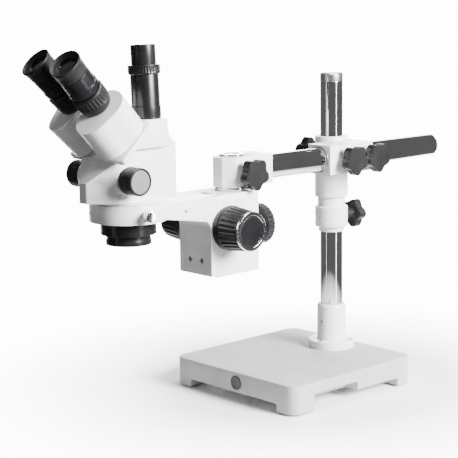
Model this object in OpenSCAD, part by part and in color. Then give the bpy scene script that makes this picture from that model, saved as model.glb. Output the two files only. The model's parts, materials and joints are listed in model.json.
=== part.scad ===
// Trinocular stereo microscope on a single-arm boom stand.
// Millimetres, +Z up. The observer sits at -Y and looks along +Y; +X is at the right hand.
// The origin is on the bench, in the middle of the whole instrument's outline: place()
// moves everything there. All other numbers count from the centre of the base.

/* [Base] */
// Width of the base, left to right
base_w = 234; // [224:1:244]
// Depth of the base, front to back
base_d = 236; // [228:1:246]
// Height of the base top above the bench
base_h = 41; // [39:1:44]
// Radius of the vertical corners of the base
base_r = 15; // [12:1:20]
// Width of each foot, measured from its corner
foot_w = 33; // [28:1:40]

/* [Pillar] */
// Diameter of the pillar and of the boom arm
tube_d = 32; // [31:0.5:32]
// Height of the pillar top above the bench
pillar_top = 432; // [425:1:460]
// Distance from the base centre back to the pillar
pillar_y = 78; // [72:1:80]

/* [Boom] */
// Sideways distance from the pillar to the boom arm
arm_x = 42; // [42:0.5:44]
// Height of the boom arm's centre line
arm_z = 320; // [319.5:0.1:321]
// Length of the boom arm tube
arm_len = 379; // [375:1:400]
// Distance from the base centre forward to the vertical focusing post
post_y = -153; // [-154:0.5:-152]

/* [Head] */
// Distance from the base centre forward to the optical axis
head_y = -325; // [-327:0.5:-323]
// Bore of the ring that holds the head
ring_bore = 76; // [76:0.1:77]
// Tilt of the eyepieces above the horizontal
eye_tilt = 45; // [44:0.5:46]
// Half of the angle between the two optical channels
channel_lean = 6; // [5.5:0.25:6.5]

/* [Hidden] */
$fn = 64;

fit = 0.05;          // radial clearance of a running fit
gap = 0.3;           // clearance between faces that move past each other
tube_r = tube_d / 2;
tube_wall = 2.5;

// base
foot_pad = 2;
foot_front = 39;
foot_back = 30;
skirt_z = 13;
skirt_h = base_h - skirt_z;
cutout_h = 12;
cutout_depth = 22;
cutout_front = -79;
cutout_back = 5;
pocket_depth = 4;
socket_r = 20.4;
flange_r = 32.4;
flange_h = 11;
socket_top = 104;
socket_screw_circle = 26;

// collar and cross clamp on the pillar
collar_z = 209;
collar_mid_z = 216.7;
collar_neck_z = 244.6;
collar_r = 23.2;
sleeve_z = 259;
sleeve_r = 23.4;
clamp_z = 300;
clamp_h = 39.5;
clamp_w = 41;
clamp_front = 9;
clamp_back = 94;
top_ring_z = 344;
stud_r = 4;
star_r = 20.5;
star_t = 12;
collar_knob_z = 229;
arm_knob_ys = [41, 86];
bush_r = 17.75;
bush_len = 15;

// boom arm and end clamp
arm_front = -135;
plug_t = 4;
end_front = -178;
end_back = -100;
end_z = 302;
end_h = 38;
end_chamfer = 12;
post_r = 12.5;
post_foot_z = 232;
end_knob_y = -147;

// focusing block and bracket
block_w = 60;
block_z = 194;
block_top = 297.2;
block_front = -206.8;
block_back = -135.4;
bracket_t = 10.2;
bracket_front = block_front - gap - bracket_t;
shaft_y = -188;
shaft_z = 255;
shaft_r = 4;
gear_module = 0.8;
gear_teeth = 15;
gear_pitch_r = gear_module * gear_teeth / 2;
rack_pitch_y = shaft_y - gear_pitch_r;
rail_back = rack_pitch_y - 1.25 * gear_module;
rail_len = 96;
bush_out_r = 7;
bush_wall_len = 10;
post_knob_z = 247;
focus_flange_r = 28.5;

// ring holder
ring_r = 47;
ring_z = 279;
ring_top = 301.5;
thumb_angle = -12;
thumb_z = 290;

// zoom body and cover
body_half = 36;
body_floor_z = 301.8;
body_top_z = 369;
body_wall = 4;
zoom_y = -29;
zoom_z = 333;
zoom_knob_r = 16.5;
zoom_knob_start = 40;
zoom_knob_end = 61.5;
channel_floor_x = 17;
plate_y = -45;
plate_z = 360;
plate_half = 51;
plate_len = 58;
plate_t = 6;
cover_half = 45;
cover_top = 402;

// eyepiece channels: swivel axis on the slanted plate, eyepiece axis beside it
swivel_x = 22.8;
swivel_v = 15;
drum_r = 22.2;
crown_r = 24.8;
crown_out = 2.5;
crown_up = 20;
eye_in = 7.9;
eye_up = 19.4;
housing_start = 4;
housing_end = 52;
housing_wall = 3;
spigot_r = 12;
neck_len = 4.2;
eyetube_r = 16;
eyepiece_r = 15;

eyecup_r = 19.8;
eyecup_lip = 72.6;

// middle of the outline, from the front of the eyecups to the back of the boom arm
rim_reach = ((housing_end + eyecup_lip) * cos(channel_lean) + eye_in * sin(channel_lean))
            * sin(eye_tilt);
rim_half = eyecup_r * sqrt(1 - pow(cos(channel_lean) * sin(eye_tilt), 2));
outline_front = head_y + plate_y + (swivel_v + eye_up) * cos(eye_tilt) - rim_reach - rim_half;
outline_back = arm_front + arm_len;
origin_y = -(outline_front + outline_back) / 2;

// photo port
port_x = 24;
port_y = 12.5;
port_lean = -3;
port_tube_r = 15;
port_bore_r = 11.65;

white = [0.93, 0.93, 0.92];
black = [0.11, 0.11, 0.12];
chrome = [0.75, 0.76, 0.78];
steel = [0.55, 0.56, 0.58];
glass = [0.6, 0.75, 0.85];

// ---------------------------------------------------------------- helpers

module place() translate([0, origin_y, 0]) children();

// children(0) with +Z turned to the named direction
module along_x() rotate([0, 90, 0]) children();
module along_minus_x() rotate([0, -90, 0]) children();
module along_y() rotate([-90, 0, 0]) children();

module at_pillar() translate([0, pillar_y, 0]) children();
module at_post() translate([arm_x, post_y, 0]) children();
module at_head() translate([arm_x, head_y, 0]) children();

// a flat-bottomed block, corner radius r, standing on z = 0
module round_block(w, d, h, r) {
  linear_extrude(h) {
    square([w - 2 * r, d], center = true);
    square([w, d - 2 * r], center = true);
    for (sx = [-1, 1], sy = [-1, 1])
      translate([sx * (w / 2 - r), sy * (d / 2 - r)])
        circle(r);
  }
}

module tube(r_out, r_in, h) {
  difference() {
    cylinder(h = h, r = r_out);
    translate([0, 0, -1])
      cylinder(h = h + 2, r = r_in);
  }
}

// Star knob on a threaded stud. z = 0 is the face that it screws into.
module star_knob(stand_off, stud_in) {
  scallop_r = 9;
  translate([0, 0, -stud_in])
    cylinder(h = stud_in + stand_off + 1, r = stud_r);
  translate([0, 0, gap])
    cylinder(h = stand_off, r = 8);
  translate([0, 0, stand_off])
    difference() {
      cylinder(h = star_t, r = star_r);
      for (i = [0:4])
        rotate([0, 0, 72 * i + 36])
          translate([star_r + scallop_r - 4, 0, -1])
            cylinder(h = star_t + 2, r = scallop_r);
    }
}

// Spur gear along +Z, centred on its width, with a clearance on each flank
module pinion(width) {
  tip_r = gear_pitch_r + 0.75 * gear_module;
  root_r = gear_pitch_r - 1.15 * gear_module;
  half_tip = 0.12 * PI * gear_module;
  half_root = 0.34 * PI * gear_module;
  translate([0, 0, -width / 2])
    linear_extrude(width) {
      circle(root_r);
      for (i = [0:gear_teeth - 1])
        rotate(360 * (i + 0.5) / gear_teeth)
          polygon([[root_r - 0.4, -half_root], [tip_r, -half_tip],
                   [tip_r, half_tip], [root_r - 0.4, half_root]]);
    }
}

// Rack teeth along +Z on the face y = 0, pointing to +Y, with a tooth centred on z = 0
module rack_teeth(width, count) {
  pitch = PI * gear_module;
  half_root = 0.30 * pitch;
  half_tip = 0.10 * pitch;
  height = 1.9 * gear_module;
  for (i = [-count:count])
    translate([-width / 2, 0, i * pitch])
      rotate([90, 0, 90])
        linear_extrude(width)
          polygon([[-0.3, -half_root], [height, -half_tip], [height, half_tip],
                   [-0.3, half_root]]);
}

// ---------------------------------------------------------------- base and pillar

module base_plate() {
  side = (base_w / 2) - cutout_depth;
  place() color(white)
    difference() {
      union() {
        translate([0, 0, skirt_z])
          round_block(base_w, base_d, skirt_h, base_r);
        intersection() {
          translate([0, 0, foot_pad])
            round_block(base_w, base_d, skirt_z - foot_pad + 1, base_r);
          for (x = [-base_w / 2, base_w / 2 - foot_w]) {
            translate([x, -base_d / 2, 0])
              cube([foot_w, foot_front, skirt_z + 1]);
            translate([x, base_d / 2 - foot_back, 0])
              cube([foot_w, foot_back, skirt_z + 1]);
          }
        }
      }
      translate([0, 0, skirt_z + pocket_depth / 2 - 1])
        cube([base_w - 4 * foot_w, base_d - 3 * foot_w, pocket_depth + 2], center = true);
      for (sx = [-1, 1])
        translate([sx * (side + cutout_depth / 2 + 1), (cutout_front + cutout_back) / 2,
                   skirt_z + cutout_h / 2 - 1])
          cube([cutout_depth + 2, cutout_back - cutout_front, cutout_h + 2], center = true);
      at_pillar()
        for (a = [-90, 30, 150])
          rotate([0, 0, a])
            translate([socket_screw_circle, 0, base_h - 14])
              cylinder(h = 15, r = 3);
    }
}

module rubber_feet() {
  place() color(black)
    for (sx = [-1, 1], sy = [-1, 1])
      translate([sx * (base_w / 2 - 17), sy * (base_d / 2 - 17), 0])
        cylinder(h = foot_pad, r = 11);
}

module base_badge() {
  place() color(black)
    translate([8, -base_d / 2, base_h - 14.5])
      rotate([90, 0, 0])
        cylinder(h = 1, r = 10);
}

module pillar_socket() {
  place() color(white)
    at_pillar()
      difference() {
        translate([0, 0, base_h])
          rotate_extrude()
            polygon([[tube_r + fit, 0], [flange_r, 0], [flange_r, flange_h - 1],
                     [flange_r - 1, flange_h], [socket_r, flange_h],
                     [socket_r, socket_top - base_h - 3], [socket_r - 1.5, socket_top - base_h],
                     [tube_r + fit, socket_top - base_h]]);
        for (a = [-90, 30, 150])
          rotate([0, 0, a])
            translate([socket_screw_circle, 0, base_h - 1]) {
              cylinder(h = 20, r = 3);
              translate([0, 0, 6])
                cylinder(h = 20, r = 5);
            }
        translate([0, -tube_r + 1, 79])
          rotate([90, 0, 0])
            cylinder(h = 10, r = 2.5);
      }
}

module hex_socket_screw(head_r, head_h, shank_r, shank_l) {
  difference() {
    union() {
      cylinder(h = head_h, r = head_r);
      translate([0, 0, -shank_l])
        cylinder(h = shank_l + 1, r = shank_r);
    }
    translate([0, 0, head_h - 2])
      cylinder(h = 3, r = head_r * 0.55, $fn = 6);
  }
}

module socket_screws() {
  place() color(steel)
    at_pillar() {
      for (a = [-90, 30, 150])
        rotate([0, 0, a])
          translate([socket_screw_circle, 0, base_h + 5])
            hex_socket_screw(5, 5, 3, 18);
      translate([0, -tube_r - fit, 79])
        rotate([90, 0, 0])
          cylinder(h = 4, r = 2.5);
    }
}

module pillar() {
  place() color(chrome)
    at_pillar()
      translate([0, 0, base_h])
        tube(tube_r, tube_r - tube_wall, pillar_top - 12 - base_h);
}

module pillar_cap() {
  place() color(steel)
    at_pillar()
      translate([0, 0, pillar_top - 12])
        rotate_extrude()
          polygon([[0, -14], [tube_r - tube_wall, -14], [tube_r - tube_wall, 0],
                   [tube_r, 0], [tube_r, 10], [tube_r - 2, 12], [0, 12]]);
}

// ---------------------------------------------------------------- safety collar

module stop_collar() {
  bore = tube_r + fit;
  place() color(white)
    at_pillar()
      difference() {
        rotate_extrude()
          polygon([[bore, collar_z], [18.2, collar_z], [18.2, collar_mid_z - 1],
                   [collar_r - 1, collar_mid_z - 1], [collar_r, collar_mid_z],
                   [collar_r, collar_neck_z - 1], [collar_r - 1, collar_neck_z],
                   [19.3, collar_neck_z], [19.3, sleeve_z - gap], [bore, sleeve_z - gap]]);
        translate([0, tube_r - 1, collar_knob_z])
          along_y()
            cylinder(h = 12, r = stud_r + fit);
        translate([0, -tube_r + 1, collar_knob_z + 3])
          rotate([90, 0, 0])
            cylinder(h = 10, r = 2.5);
      }
}

module collar_set_screw() {
  place() color(steel)
    at_pillar()
      translate([0, -tube_r - gap, collar_knob_z + 3])
        rotate([90, 0, 0])
          cylinder(h = 5, r = 2.5);
}

module collar_knob() {
  place() color(black)
    at_pillar()
      translate([0, collar_r, collar_knob_z])
        along_y()
          star_knob(16, collar_r - tube_r - gap);
}

// ---------------------------------------------------------------- cross clamp

module cross_clamp() {
  half = clamp_w / 2;
  place() color(white)
    difference() {
      union() {
        at_pillar()
          translate([0, 0, sleeve_z])
            cylinder(h = top_ring_z - sleeve_z, r = sleeve_r);
        translate([arm_x - half, clamp_front, clamp_z])
          cube([clamp_w, clamp_back - clamp_front, clamp_h]);
        translate([0, pillar_y - 18, clamp_z])
          cube([arm_x, 33.5, clamp_h]);
      }
      at_pillar()
        translate([0, 0, sleeve_z - 1])
          cylinder(h = top_ring_z - sleeve_z + 2, r = tube_r + fit);
      translate([arm_x, clamp_front - 1, arm_z])
        along_y()
          cylinder(h = clamp_back - clamp_front + 2, r = tube_r + fit);
      translate([arm_x, clamp_front - 1, arm_z])
        along_y()
          cylinder(h = bush_len + 1, r = bush_r);
      for (y = arm_knob_ys)
        translate([arm_x + tube_r - 1, y, arm_z - 1])
          along_x()
            cylinder(h = half, r = stud_r + fit);
      translate([-tube_r + 1, pillar_y, arm_z - 2])
        along_minus_x()
          cylinder(h = 12, r = stud_r + fit);
    }
}

module arm_bush() {
  place() color(steel)
    translate([arm_x, clamp_front - 1.2, arm_z])
      along_y()
        tube(bush_r, tube_r + fit, bush_len + 1.2);
}

module arm_knob(y) {
  half = clamp_w / 2;
  place() color(black)
    translate([arm_x + half, y, arm_z - 1])
      along_x()
        star_knob(9.5, half - tube_r - gap);
}

module arm_knob_front() arm_knob(arm_knob_ys[0]);
module arm_knob_rear() arm_knob(arm_knob_ys[1]);

module pillar_knob() {
  place() color(black)
    translate([-sleeve_r, pillar_y, arm_z - 2])
      along_minus_x()
        star_knob(16, sleeve_r - tube_r - gap);
}

// ---------------------------------------------------------------- boom arm and end clamp

module boom_arm() {
  place() color(chrome)
    translate([arm_x, arm_front, arm_z])
      along_y()
        tube(tube_r, tube_r - tube_wall, arm_len - plug_t);
}

module arm_plug() {
  place() color(black)
    translate([arm_x, arm_front + arm_len - plug_t, arm_z])
      along_y()
        rotate_extrude()
          polygon([[0, -12], [tube_r - tube_wall, -12], [tube_r - tube_wall, 0],
                   [tube_r, 0], [tube_r - 0.4, 1.6], [tube_r - 1.6, plug_t - 0.8],
                   [tube_r - 4, plug_t], [0, plug_t]]);
}

module end_clamp() {
  half = clamp_w / 2;
  c = end_chamfer;
  place() color(white)
    difference() {
      union() {
        translate([arm_x, 0, end_z])
          linear_extrude(end_h)
            polygon([[half, end_back], [half, end_front + c], [half - c, end_front],
                     [c - half, end_front], [-half, end_front + c], [-half, end_back]]);
        translate([arm_x, end_back - 20, end_z])
          cylinder(h = end_h + 1.6, r = 15);
      }
      at_post()
        translate([0, 0, end_z - 1])
          cylinder(h = end_h + 3, r = post_r + fit);
      translate([arm_x, arm_front - 0.2, arm_z])
        along_y()
          cylinder(h = end_back - arm_front + 1, r = tube_r + fit);
      translate([arm_x + post_r - 3, end_knob_y, arm_z - 1])
        along_x()
          cylinder(h = half, r = stud_r + fit);
    }
}

module end_clamp_knob() {
  half = clamp_w / 2;
  place() color(black)
    translate([arm_x + half, end_knob_y, arm_z - 1])
      along_x()
        star_knob(9.5, half - post_r - gap);
}

// ---------------------------------------------------------------- focusing block

module focus_post() {
  place() color(chrome)
    at_post()
      translate([0, 0, post_foot_z])
        cylinder(h = end_z + end_h + fit + 1 - post_foot_z, r = post_r);
}

module post_collars() {
  cap_z = end_z + end_h + 0.1;
  place() color(chrome)
    at_post() {
      translate([0, 0, block_top])
        tube(22.5, post_r, end_z - 0.1 - block_top);
      translate([0, 0, cap_z])
        difference() {
          cylinder(h = 3.4, r = 16.5);
          translate([0, 0, -1])
            cylinder(h = 1 + 1 - 0.05, r = post_r);
          translate([0, 0, 2.2])
            cylinder(h = 3, r = 10);
        }
    }
}

// The dovetail that guides the bracket, drawn in plan and grown by c on each side
module dovetail(c) {
  polygon([[-10 - c, block_front - gap - 2 * c], [10 + c, block_front - gap - 2 * c],
           [13 + c, rail_back + c], [-13 - c, rail_back + c]]);
}

module focus_block() {
  half = block_w / 2;
  place() color(white)
    difference() {
      translate([arm_x - half, block_front, block_z])
        cube([block_w, block_back - block_front, block_top - block_z]);
      translate([arm_x, 0, block_z - 1])
        linear_extrude(block_top - block_z + 2)
          dovetail(gap);
      translate([arm_x - 6, rail_back - 1, block_z - 1])
        cube([12, 4, block_top - block_z + 2]);
      translate([arm_x - half - 1, shaft_y, shaft_z])
        along_x() {
          cylinder(h = block_w + 2, r = shaft_r + 0.5);
          cylinder(h = bush_wall_len + 1, r = bush_out_r);
          translate([0, 0, block_w + 1 - bush_wall_len])
            cylinder(h = bush_wall_len + 1, r = bush_out_r);
          translate([0, 0, half + 1 - 6])
            cylinder(h = 12, r = 8.4);
        }
      at_post()
        translate([0, 0, post_foot_z])
          cylinder(h = 80, r = post_r);
      translate([arm_x, post_y + post_r - 2, post_knob_z])
        along_y()
          cylinder(h = 20, r = stud_r + fit);
    }
}

module shaft_bushes() {
  half = block_w / 2;
  place() color([0.72, 0.55, 0.25])
    for (x = [-half, half - bush_wall_len])
      translate([arm_x + x, shaft_y, shaft_z])
        along_x()
          tube(bush_out_r, shaft_r + fit, bush_wall_len);
}

// Ribbed hand wheel on a threaded stud. It clamps the block on the post.
module post_knob() {
  wheel_r = 26.5;
  ribs = 30;
  place() color(black)
    translate([arm_x, block_back, post_knob_z])
      along_y() {
        translate([0, 0, post_y + post_r + gap - block_back])
          cylinder(h = 30, r = stud_r);
        translate([0, 0, gap])
          cylinder(h = 22, r = 10);
        translate([0, 0, 21])
          difference() {
            cylinder(h = 14, r = wheel_r);
            for (i = [0:ribs - 1])
              rotate([0, 0, 360 * i / ribs])
                translate([wheel_r + 0.6, 0, 2])
                  cylinder(h = 14, r = 1.6, $fn = 16);
          }
      }
}

// ---------------------------------------------------------------- bracket and ring

module focus_bracket() {
  half = block_w / 2;
  back = block_front - gap;
  fillet = 12;
  arm_under = 268;
  web_front = head_y;
  place() color(white)
    difference() {
      union() {
        translate([arm_x - half, 0, 0])
          rotate([90, 0, 90])
            linear_extrude(block_w)
              difference() {
                polygon([[back, block_z + 2], [back, block_top], [web_front, block_top],
                         [web_front, ring_z + 1], [web_front + 34, ring_z - 1],
                         [bracket_front - fillet, arm_under],
                         [bracket_front, arm_under - fillet], [bracket_front, block_z + 2]]);
                translate([bracket_front - fillet, arm_under - fillet])
                  circle(fillet);
              }
        at_head()
          translate([0, 0, ring_z])
            cylinder(h = ring_top - ring_z, r = ring_r);
      }
      at_head()
        translate([0, 0, ring_z - 2])
          cylinder(h = 40, r = ring_bore / 2);
      at_head()
        rotate([0, 0, thumb_angle])
          translate([ring_bore / 2 - 1, 0, thumb_z])
            along_x()
              cylinder(h = 14, r = 2.5 + fit);
      for (x = [-11, 11])
        translate([arm_x + x, bracket_front - 1, block_z + 20])
          along_y() {
            cylinder(h = 20, r = 2);
            cylinder(h = 5, r = 3.6);
          }
      at_head()
        rotate([0, 0, -112])
          translate([ring_bore / 2 - 1, 0, thumb_z])
            along_x()
              cylinder(h = 14, r = 2);
      translate([arm_x + half - 8, -258, 284])
        along_x()
          cylinder(h = 10, r = 2);
    }
}

module slide_rack() {
  back = block_front - gap;
  place() color(steel)
    difference() {
      union() {
        translate([arm_x, 0, block_z + 4])
          linear_extrude(rail_len)
            polygon([[-10, back], [10, back], [13, rail_back], [-13, rail_back]]);
        translate([arm_x, rail_back, shaft_z])
          rack_teeth(9, 15);
      }
      for (x = [-11, 11])
        translate([arm_x + x * 0.6, back - 1, block_z + 20])
          along_y()
            cylinder(h = 8, r = 0.5);
    }
}

module bracket_screws() {
  half = block_w / 2;
  place() color(steel) {
    for (x = [-11, 11])
      translate([arm_x + x, bracket_front + 4, block_z + 20])
        rotate([90, 0, 0])
          hex_socket_screw(3.5, 3, 1.95, bracket_t - 4.5);
    at_head()
      rotate([0, 0, -112])
        translate([ring_bore / 2 + 0.5, 0, thumb_z])
          along_x()
            cylinder(h = 7, r = 2);
    translate([arm_x + half - 8, -258, 284])
      along_x()
        cylinder(h = 7, r = 2);
  }
}

module ring_thumbscrew() {
  flutes = 24;
  place() color(chrome)
    at_head()
      rotate([0, 0, thumb_angle])
        translate([0, 0, thumb_z])
          along_x() {
            translate([0, 0, ring_bore / 2 + gap])
              cylinder(h = 14, r = 2.5);
            translate([0, 0, ring_r + 1])
              cylinder(h = 5, r = 4.5);
            translate([0, 0, ring_r + 5])
              difference() {
                cylinder(h = 9, r = 6.6);
                for (i = [0:flutes - 1])
                  rotate([0, 0, 360 * i / flutes])
                    translate([6.9, 0, 1])
                      cylinder(h = 7, r = 0.6, $fn = 12);
              }
          }
}

// ---------------------------------------------------------------- focusing knobs

// A pair of children on the two ends of the pinion shaft, +Z pointing outward
module both_ends() {
  for (s = [-1, 1])
    translate([arm_x, shaft_y, shaft_z])
      rotate([0, s * 90, 0])
        children();
}

module focus_knobs() {
  ribs = 24;
  start = block_w / 2 + 1.5;
  place() color(black)
    both_ends()
      difference() {
        rotate_extrude()
          polygon([[shaft_r, start], [focus_flange_r, start], [focus_flange_r, start + 6],
                   [focus_flange_r - 1.2, start + 7], [24.6, 70], [20, 70], [20, 68.5],
                   [shaft_r, 68.5]]);
        for (i = [0:ribs - 1])
          rotate([0, 0, 360 * i / ribs])
            translate([focus_flange_r - 0.4, 0, start + 10])
              rotate([0, -4.4, 0])
                cylinder(h = 24, r = 1.5, $fn = 16);
      }
}

module focus_knob_rims() {
  place() color(chrome)
    both_ends()
      translate([0, 0, 70])
        tube(24.8, 20, 3);
}

module focus_knob_caps() {
  place() color(black)
    both_ends()
      translate([0, 0, 68.5])
        cylinder(h = 3.6, r = 20);
}

module pinion_shaft() {
  place() color(steel)
    translate([arm_x, shaft_y, shaft_z])
      along_x() {
        translate([0, 0, -68])
          cylinder(h = 136, r = shaft_r);
        rotate([0, 0, -90])
          pinion(8);
      }
}

// ---------------------------------------------------------------- zoom head

// Outline of the zoom body in plan: narrow at the front, square at the back
module body_outline(inset) {
  s = inset;
  polygon([[6.5, -67.5 + s], [36 - s, -40 + s], [36 - s, 45 - s], [31 - s, 52 - s],
           [s - 31, 52 - s], [s - 36, 45 - s], [s - 36, -40 + s], [-6.5, -67.5 + s]]);
}

// local frame of the slanted plate: X sideways, Y up the slope, Z along the eyepieces
module on_plate() {
  at_head()
    translate([0, plate_y, plate_z])
      rotate([eye_tilt, 0, 0])
        children();
}

// local frame of one optical channel: Z is the axis that its prism housing swivels on
module channel(side) {
  on_plate()
    translate([side * swivel_x, swivel_v, 0])
      rotate([0, side * channel_lean, 0])
        children();
}

// local frame of one eyepiece
module eyepiece_axis(side) {
  channel(side)
    translate([-side * eye_in, eye_up, 0])
      children();
}

module zoom_body() {
  place() color(white)
    difference() {
      union() {
        at_head() {
          difference() {
            union() {
              translate([0, 0, 306])
                linear_extrude(body_top_z - 306)
                  body_outline(0);
              for (s = [-1, 1])
                translate([s * 12, zoom_y, zoom_z])
                  rotate([0, s * 90, 0])
                    cylinder(h = zoom_knob_start - 12.4, r1 = 31, r2 = 17.4);
            }
            translate([0, 0, 310])
              linear_extrude(body_top_z)
                body_outline(body_wall);
          }
          translate([0, 0, body_floor_z])
            cylinder(h = 310 - body_floor_z, r = 46);
          translate([0, 0, 281])
            cylinder(h = body_floor_z - 280, r = ring_bore / 2 - fit);
          for (s = [-1, 1])
            translate([s * 26, zoom_y, zoom_z])
              rotate([0, s * 90, 0])
                cylinder(h = 10, r = 9);
        }
      }
      at_head() {
        translate([0, 0, 280])
          cylinder(h = 20, r = 34.2);
        for (s = [-1, 1])
          translate([s * channel_floor_x, 0, 290])
            cylinder(h = 40, r = 11);
        translate([-60, zoom_y, zoom_z])
          along_x()
            cylinder(h = 120, r = shaft_r + fit);
      }
      on_plate()
        translate([0, 0, 300 - plate_t])
          cube([400, 400, 600], center = true);
    }
}

module head_cover() {
  seat_r = drum_r - 2;
  place() color(white)
    difference() {
      union() {
        on_plate()
          translate([-plate_half, -4, -plate_t])
            cube([2 * plate_half, plate_len + 4, plate_t]);
        at_head()
          intersection() {
            translate([-cover_half, 0, 0])
              rotate([90, 0, 90])
                linear_extrude(2 * cover_half)
                  polygon([[-36, body_top_z], [46, body_top_z], [46, body_top_z + 2],
                           [33, 382], [29, cover_top], [-4, cover_top]]);
            translate([0, 0, 360])
              linear_extrude(60)
                polygon([[45, -60], [45, 22], [33, 50], [-33, 50], [-45, 22], [-45, -60]]);
          }
        for (s = [-1, 1])
          channel(s)
            translate([0, 0, -3])
              cylinder(h = 3 + housing_start - gap, r = seat_r);
      }
      at_head()
        intersection() {
          translate([-cover_half + body_wall, 0, 0])
            rotate([90, 0, 90])
              linear_extrude(2 * cover_half - 2 * body_wall)
                polygon([[-27, body_top_z - 1], [40, body_top_z - 1], [40, 372],
                         [28, 381], [25, cover_top - 4], [-1, cover_top - 4], [-27, 372]]);
          translate([0, 0, 360])
            linear_extrude(60)
              polygon([[41, -60], [41, 20], [30, 45], [-30, 45], [-41, 20], [-41, -60]]);
        }
      for (s = [-1, 1])
        channel(s)
          translate([0, 0, -20])
            cylinder(h = 40, r = spigot_r + fit);
      at_head()
        translate([cover_half - 5, -16, 388])
          along_x()
            cylinder(h = 10, r = 1.6);
      at_port()
        translate([0, 0, -10])
          cylinder(h = 20, r = 12);
    }
}

module head_screws() {
  place() color(steel)
    at_head()
      translate([cover_half - 5, -16, 388])
        along_x()
          cylinder(h = 4.6, r = 1.6);
}

module objective_barrel() {
  place() color(black)
    at_head()
      difference() {
        rotate_extrude()
          polygon([[0, 264], [24, 264], [24, 250], [27.8, 250], [27.8, 255.5],
                   [26.8, 256.5], [26.8, 262.5], [33.9, 262.5], [33.9, 300], [30, 300],
                   [30, 272], [0, 272]]);
        for (s = [-1, 1])
          translate([s * 12, 0, 260])
            cylinder(h = 20, r = 10);
      }
}

// Biconvex lens: a disc of radius r and edge thickness t whose faces bulge by b
module lens(r, t, b) {
  steps = 6;
  upper = [for (i = [0:steps]) [r * i / steps, t / 2 + b * (1 - pow(i / steps, 2))]];
  lower = [for (i = [steps:-1:0]) [r * i / steps, -t / 2 - b * (1 - pow(i / steps, 2))]];
  rotate_extrude()
    polygon(concat(upper, lower));
}

module objective_lenses() {
  place() color(glass)
    at_head()
      for (s = [-1, 1])
        translate([s * 12, 0, 268])
          lens(10, 3, 1.2);
}

module zoom_guide_rods() {
  place() color(steel)
    at_head()
      for (y = [-14, 18])
        translate([0, y, 310])
          cylinder(h = 54, r = 3);
}

module zoom_carrier() {
  rack_face = zoom_y + gear_pitch_r + 1.25 * gear_module;
  place() color(steel)
    at_head()
      difference() {
        union() {
          translate([-30, -12, 336])
            cube([60, 24, 8]);
          translate([-7, rack_face, 317])
            cube([14, 24 - rack_face, 4]);
          translate([-7, rack_face, 317])
            cube([14, -8.5 - rack_face, 36]);
          translate([-7, 12, 317])
            cube([14, 12, 27]);
          translate([0, rack_face, zoom_z])
            rotate([0, 0, 180])
              rack_teeth(9, 6);
        }
        for (s = [-1, 1])
          translate([s * 19.5, 0, 330])
            cylinder(h = 20, r = 9);
        for (y = [-14, 18])
          translate([0, y, 300])
            cylinder(h = 60, r = 3 + fit);
      }
}

module zoom_lenses() {
  place() color(glass)
    at_head()
      for (s = [-1, 1])
        translate([s * 19.5, 0, 340])
          lens(9, 3, 1);
}

module zoom_shaft() {
  place() color(steel)
    at_head()
      translate([0, zoom_y, zoom_z])
        along_x() {
          translate([0, 0, -59.5])
            cylinder(h = 119, r = shaft_r);
          rotate([0, 0, 90])
            pinion(8);
        }
}

module zoom_ends() {
  at_head()
    for (s = [-1, 1])
      translate([0, zoom_y, zoom_z])
        rotate([0, s * 90, 0])
          children();
}

module zoom_knobs() {
  place() color(black)
    zoom_ends()
      rotate_extrude()
        polygon([[shaft_r, zoom_knob_start], [zoom_knob_r - 1, zoom_knob_start],
                 [zoom_knob_r, zoom_knob_start + 1], [zoom_knob_r, zoom_knob_end - 1],
                 [zoom_knob_r - 1, zoom_knob_end], [14, zoom_knob_end], [14, 59.7],
                 [shaft_r, 59.7]]);
}

module zoom_knob_caps() {
  place() color([0.5, 0.5, 0.52])
    zoom_ends()
      translate([0, 0, 59.7])
        cylinder(h = 1, r = 13.9);
}

// ---------------------------------------------------------------- eyepiece channels

// Plan of a prism housing: a drum round the swivel axis, widening upward to a crown
function arc(x, y, r, from, to) =
  [for (i = [0:20]) let (a = from + (to - from) * i / 20) [x + r * cos(a), y + r * sin(a)]];

module housing_outline(side, inset) {
  lean_a = atan2(crown_up, crown_out);
  spread_a = acos((drum_r - crown_r) / norm([crown_out, crown_up]));
  scale([side, 1])
    polygon(concat(arc(0, 0, drum_r - inset, lean_a - 360 + spread_a, lean_a - spread_a),
                   arc(crown_out, crown_up, crown_r - inset, lean_a - spread_a,
                       lean_a + spread_a)));
}

module prism_housing(side) {
  place() color(white)
    channel(side)
      difference() {
        union() {
          translate([0, 0, housing_start])
            linear_extrude(housing_end - housing_start)
              housing_outline(side, 0);
          translate([0, 0, -neck_len])
            cylinder(h = housing_start + neck_len + 1, r = spigot_r);
        }
        translate([0, 0, housing_start + housing_wall])
          linear_extrude(housing_end - housing_start - 2 * housing_wall)
            housing_outline(side, housing_wall);
        translate([0, 0, -8])
          cylinder(h = 20, r = 9);
        translate([-side * eye_in, eye_up, housing_end - 8])
          cylinder(h = 12, r = 12);
      }
}

module prism_housing_right() prism_housing(1);
module prism_housing_left() prism_housing(-1);

// Rhomboid prism that carries the light from the swivel axis over to the eyepiece
module prism(side) {
  place() color(glass)
    channel(side)
      rotate([0, 0, side * atan2(eye_in, eye_up)])
        translate([-6.5, 0, housing_start + housing_wall])
          rotate([90, 0, 90])
            linear_extrude(13)
              polygon([[-8, 0], [8, 0], [27.5, 19.5], [27.5, 24], [13, 24], [-8, 3]]);
}

module prism_right() prism(1);
module prism_left() prism(-1);

module eyetube(side) {
  place() color(black)
    eyepiece_axis(side)
      translate([0, 0, housing_end])
        rotate_extrude()
          polygon([[10.5, -3], [11.9, -3], [11.9, 0], [17.4, 0], [19, 3], [19.6, 9],
                   [eyetube_r, 9], [eyetube_r, 29], [eyepiece_r + fit, 29],
                   [eyepiece_r + fit, 4], [10.5, 4]]);
}

module eyetube_right() eyetube(1);
module eyetube_left() eyetube(-1);

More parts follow.
